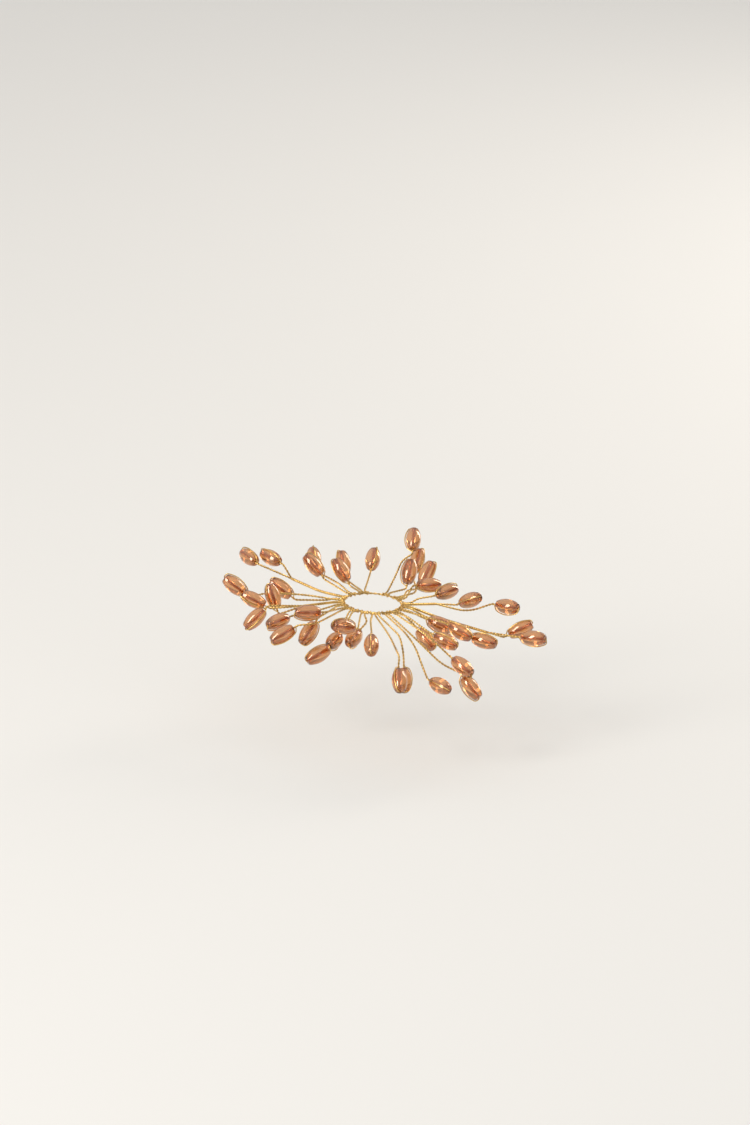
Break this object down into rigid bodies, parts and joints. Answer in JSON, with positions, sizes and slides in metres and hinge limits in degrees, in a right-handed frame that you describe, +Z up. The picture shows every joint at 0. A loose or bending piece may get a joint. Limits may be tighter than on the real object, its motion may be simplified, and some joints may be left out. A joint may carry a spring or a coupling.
{
  "type": "candle ring",
  "caption": "Wire ring that slips over a taper candle, with twisted-wire stems fanning out to clear copper-tinted oval glass beads.",
  "frame": {"origin": "centre of the bore that the candle goes through", "axes": "+Z up along the candle, +X to the right and -Y towards the viewer of the picture"},
  "size_m": [0.1149, 0.0856, 0.0375],
  "materials": {
    "wire": "polished",
    "bead_glass": "polished, clear"
  },
  "bodies": {
    "wire_frame": {"core_ring": "wire", "spray_01": "wire", "spray_02": "wire", "spray_03": "wire", "spray_04": "wire", "spray_05": "wire", "spray_06": "wire", "spray_07": "wire", "spray_08": "wire", "spray_09": "wire", "spray_10": "wire", "spray_11": "wire", "spray_12": "wire", "spray_13": "wire", "spray_14": "wire", "spray_15": "wire", "spray_16": "wire", "spray_17": "wire"},
    "bead_01_a": {"bead_01_a": "bead_glass"},
    "bead_01_b": {"bead_01_b": "bead_glass"},
    "bead_01_c": {"bead_01_c": "bead_glass"},
    "bead_02_a": {"bead_02_a": "bead_glass"},
    "bead_02_b": {"bead_02_b": "bead_glass"},
    "bead_02_c": {"bead_02_c": "bead_glass"},
    "bead_03_a": {"bead_03_a": "bead_glass"},
    "bead_03_b": {"bead_03_b": "bead_glass"},
    "bead_04_a": {"bead_04_a": "bead_glass"},
    "bead_04_b": {"bead_04_b": "bead_glass"},
    "bead_04_c": {"bead_04_c": "bead_glass"},
    "bead_05_a": {"bead_05_a": "bead_glass"},
    "bead_05_b": {"bead_05_b": "bead_glass"},
    "bead_06_a": {"bead_06_a": "bead_glass"},
    "bead_06_b": {"bead_06_b": "bead_glass"},
    "bead_07_a": {"bead_07_a": "bead_glass"},
    "bead_07_b": {"bead_07_b": "bead_glass"},
    "bead_08_a": {"bead_08_a": "bead_glass"},
    "bead_08_b": {"bead_08_b": "bead_glass"},
    "bead_08_c": {"bead_08_c": "bead_glass"},
    "bead_09_a": {"bead_09_a": "bead_glass"},
    "bead_09_b": {"bead_09_b": "bead_glass"},
    "bead_10_a": {"bead_10_a": "bead_glass"},
    "bead_10_b": {"bead_10_b": "bead_glass"},
    "bead_11_a": {"bead_11_a": "bead_glass"},
    "bead_11_b": {"bead_11_b": "bead_glass"},
    "bead_12_a": {"bead_12_a": "bead_glass"},
    "bead_12_b": {"bead_12_b": "bead_glass"},
    "bead_13_a": {"bead_13_a": "bead_glass"},
    "bead_13_b": {"bead_13_b": "bead_glass"},
    "bead_13_c": {"bead_13_c": "bead_glass"},
    "bead_14_a": {"bead_14_a": "bead_glass"},
    "bead_14_b": {"bead_14_b": "bead_glass"},
    "bead_15_a": {"bead_15_a": "bead_glass"},
    "bead_15_b": {"bead_15_b": "bead_glass"},
    "bead_15_c": {"bead_15_c": "bead_glass"},
    "bead_16_a": {"bead_16_a": "bead_glass"},
    "bead_16_b": {"bead_16_b": "bead_glass"},
    "bead_17_a": {"bead_17_a": "bead_glass"},
    "bead_17_b": {"bead_17_b": "bead_glass"},
    "bead_17_c": {"bead_17_c": "bead_glass"}
  },
  "joints": [
    {"name": "bead_01_a_spin", "type": "hinge", "parent": "wire_frame", "child": "bead_01_a", "pos_m": [0.03418, -0.00119, 0.00405], "axis": [0.7094, -0.4967, 0.5], "continuous": true},
    {"name": "bead_01_b_spin", "type": "hinge", "parent": "wire_frame", "child": "bead_01_b", "pos_m": [0.04738, -0.00124, 0.00263], "axis": [0.8147, -0.5704, 0.1045], "continuous": true},
    {"name": "bead_01_c_spin", "type": "hinge", "parent": "wire_frame", "child": "bead_01_c", "pos_m": [0.02582, 0.00789, 0.0033], "axis": [0.7413, 0.6675, 0.0698], "continuous": true},
    {"name": "bead_02_a_spin", "type": "hinge", "parent": "wire_frame", "child": "bead_02_a", "pos_m": [0.0194, 0.01309, 0.00352], "axis": [0.8627, 0.4981, -0.0872], "continuous": true},
    {"name": "bead_02_b_spin", "type": "hinge", "parent": "wire_frame", "child": "bead_02_b", "pos_m": [0.01851, 0.02206, 0.00495], "axis": [0.3536, 0.6124, 0.7071], "continuous": true},
    {"name": "bead_02_c_spin", "type": "hinge", "parent": "wire_frame", "child": "bead_02_c", "pos_m": [0.0148, 0.03249, 0.00562], "axis": [0.1664, 0.6209, 0.766], "continuous": true},
    {"name": "bead_03_a_spin", "type": "hinge", "parent": "wire_frame", "child": "bead_03_a", "pos_m": [0.01226, 0.02406, 0.0042], "axis": [0.1116, 0.633, 0.766], "continuous": true},
    {"name": "bead_03_b_spin", "type": "hinge", "parent": "wire_frame", "child": "bead_03_b", "pos_m": [0.01292, 0.03199, 0.0138], "axis": [0, 0.8387, 0.5446], "continuous": true},
    {"name": "bead_04_a_spin", "type": "hinge", "parent": "wire_frame", "child": "bead_04_a", "pos_m": [-0.00109, 0.03118, 0.00555], "axis": [0.0755, 0.8627, 0.5], "continuous": true},
    {"name": "bead_04_b_spin", "type": "hinge", "parent": "wire_frame", "child": "bead_04_b", "pos_m": [-0.0115, 0.02997, 0.00375], "axis": [-0.2418, 0.6645, 0.7071], "continuous": true},
    {"name": "bead_04_c_spin", "type": "hinge", "parent": "wire_frame", "child": "bead_04_c", "pos_m": [-0.012, 0.02078, 0.0042], "axis": [-0.5417, 0.4545, 0.7071], "continuous": true},
    {"name": "bead_05_a_spin", "type": "hinge", "parent": "wire_frame", "child": "bead_05_a", "pos_m": [-0.02212, 0.03102, 0.0045], "axis": [-0.1574, 0.8925, 0.4226], "continuous": true},
    {"name": "bead_05_b_spin", "type": "hinge", "parent": "wire_frame", "child": "bead_05_b", "pos_m": [-0.02201, 0.02126, 0.00525], "axis": [-0.6634, 0.383, 0.6428], "continuous": true},
    {"name": "bead_06_a_spin", "type": "hinge", "parent": "wire_frame", "child": "bead_06_a", "pos_m": [-0.03721, 0.01815, 0.00795], "axis": [-0.7044, 0.7044, 0.0872], "continuous": true},
    {"name": "bead_06_b_spin", "type": "hinge", "parent": "wire_frame", "child": "bead_06_b", "pos_m": [-0.04495, 0.02001, 0.0069], "axis": [-0.5714, 0.816, 0.0872], "continuous": true},
    {"name": "bead_07_a_spin", "type": "hinge", "parent": "wire_frame", "child": "bead_07_a", "pos_m": [-0.03279, 0.00578, 0.0009], "axis": [-0.8398, 0.118, 0.5299], "continuous": true},
    {"name": "bead_07_b_spin", "type": "hinge", "parent": "wire_frame", "child": "bead_07_b", "pos_m": [-0.04883, -0.00256, 0.00375], "axis": [-0.8259, 0.1456, 0.5446], "continuous": true},
    {"name": "bead_08_a_spin", "type": "hinge", "parent": "wire_frame", "child": "bead_08_a", "pos_m": [-0.04182, -0.00813, 0.00097], "axis": [-0.9182, 0.129, 0.3746], "continuous": true},
    {"name": "bead_08_b_spin", "type": "hinge", "parent": "wire_frame", "child": "bead_08_b", "pos_m": [-0.04072, -0.01442, -0.00382], "axis": [-0.6645, -0.2418, -0.7071], "continuous": true},
    {"name": "bead_08_c_spin", "type": "hinge", "parent": "wire_frame", "child": "bead_08_c", "pos_m": [-0.03514, -0.00431, 0.00135], "axis": [-0.366, 0.2113, 0.9063], "continuous": true},
    {"name": "bead_09_a_spin", "type": "hinge", "parent": "wire_frame", "child": "bead_09_a", "pos_m": [-0.03258, -0.01732, -0.00315], "axis": [-0.7359, -0.6626, -0.1392], "continuous": true},
    {"name": "bead_09_b_spin", "type": "hinge", "parent": "wire_frame", "child": "bead_09_b", "pos_m": [-0.02174, -0.01889, -0.00615], "axis": [-0.4394, -0.6275, -0.6428], "continuous": true},
    {"name": "bead_10_a_spin", "type": "hinge", "parent": "wire_frame", "child": "bead_10_a", "pos_m": [-0.02229, -0.02007, 0.00195], "axis": [-0.9659, -0.2588, 0], "continuous": true},
    {"name": "bead_10_b_spin", "type": "hinge", "parent": "wire_frame", "child": "bead_10_b", "pos_m": [-0.03057, -0.02565, -0.00495], "axis": [-0.8002, -0.3731, -0.4695], "continuous": true},
    {"name": "bead_11_a_spin", "type": "hinge", "parent": "wire_frame", "child": "bead_11_a", "pos_m": [-0.01772, -0.02309, -0.01245], "axis": [-0.8002, -0.4255, -0.4226], "continuous": true},
    {"name": "bead_11_b_spin", "type": "hinge", "parent": "wire_frame", "child": "bead_11_b", "pos_m": [-0.0124, -0.02599, -0.0057], "axis": [-0.3407, -0.9361, -0.0872], "continuous": true},
    {"name": "bead_12_a_spin", "type": "hinge", "parent": "wire_frame", "child": "bead_12_a", "pos_m": [-0.00967, -0.02656, -0.00006], "axis": [-0.7912, -0.554, 0.2588], "continuous": true},
    {"name": "bead_12_b_spin", "type": "hinge", "parent": "wire_frame", "child": "bead_12_b", "pos_m": [-0.00571, -0.02207, -0.00555], "axis": [-0.3345, -0.9192, -0.2079], "continuous": true},
    {"name": "bead_13_a_spin", "type": "hinge", "parent": "wire_frame", "child": "bead_13_a", "pos_m": [0.00057, -0.0324, -0.00405], "axis": [0.0324, -0.9266, -0.3746], "continuous": true},
    {"name": "bead_13_b_spin", "type": "hinge", "parent": "wire_frame", "child": "bead_13_b", "pos_m": [0.01103, -0.04425, -0.012], "axis": [0.0998, -0.813, -0.5736], "continuous": true},
    {"name": "bead_13_c_spin", "type": "hinge", "parent": "wire_frame", "child": "bead_13_c", "pos_m": [0.0127, -0.03688, -0.01455], "axis": [0.0687, -0.785, -0.6157], "continuous": true},
    {"name": "bead_14_a_spin", "type": "hinge", "parent": "wire_frame", "child": "bead_14_a", "pos_m": [0.0252, -0.04365, -0.01305], "axis": [0.6687, -0.7427, -0.0349], "continuous": true},
    {"name": "bead_14_b_spin", "type": "hinge", "parent": "wire_frame", "child": "bead_14_b", "pos_m": [0.03606, -0.03606, -0.01575], "axis": [0.6496, -0.4059, -0.6428], "continuous": true},
    {"name": "bead_15_a_spin", "type": "hinge", "parent": "wire_frame", "child": "bead_15_a", "pos_m": [0.03252, -0.03612, -0.00825], "axis": [0.7198, -0.604, -0.342], "continuous": true},
    {"name": "bead_15_b_spin", "type": "hinge", "parent": "wire_frame", "child": "bead_15_b", "pos_m": [0.02633, -0.02455, -0.00345], "axis": [0.8754, -0.4082, -0.2588], "continuous": true},
    {"name": "bead_15_c_spin", "type": "hinge", "parent": "wire_frame", "child": "bead_15_c", "pos_m": [0.01947, -0.01693, -0.00615], "axis": [0.6302, -0.5675, -0.5299], "continuous": true},
    {"name": "bead_16_a_spin", "type": "hinge", "parent": "wire_frame", "child": "bead_16_a", "pos_m": [0.03118, -0.018, -0.00195], "axis": [0.8619, -0.4019, -0.309], "continuous": true},
    {"name": "bead_16_b_spin", "type": "hinge", "parent": "wire_frame", "child": "bead_16_b", "pos_m": [0.02424, -0.00882, -0.00315], "axis": [0.9303, -0.3023, -0.2079], "continuous": true},
    {"name": "bead_17_a_spin", "type": "hinge", "parent": "wire_frame", "child": "bead_17_a", "pos_m": [0.03985, -0.01774, -0.00495], "axis": [0.9259, -0.3741, -0.0523], "continuous": true},
    {"name": "bead_17_b_spin", "type": "hinge", "parent": "wire_frame", "child": "bead_17_b", "pos_m": [0.05695, -0.01579, -0.0033], "axis": [0.8975, -0.4185, 0.1392], "continuous": true},
    {"name": "bead_17_c_spin", "type": "hinge", "parent": "wire_frame", "child": "bead_17_c", "pos_m": [0.05241, -0.00643, -0.0036], "axis": [0.8627, 0.0755, 0.5], "continuous": true}
  ]
}
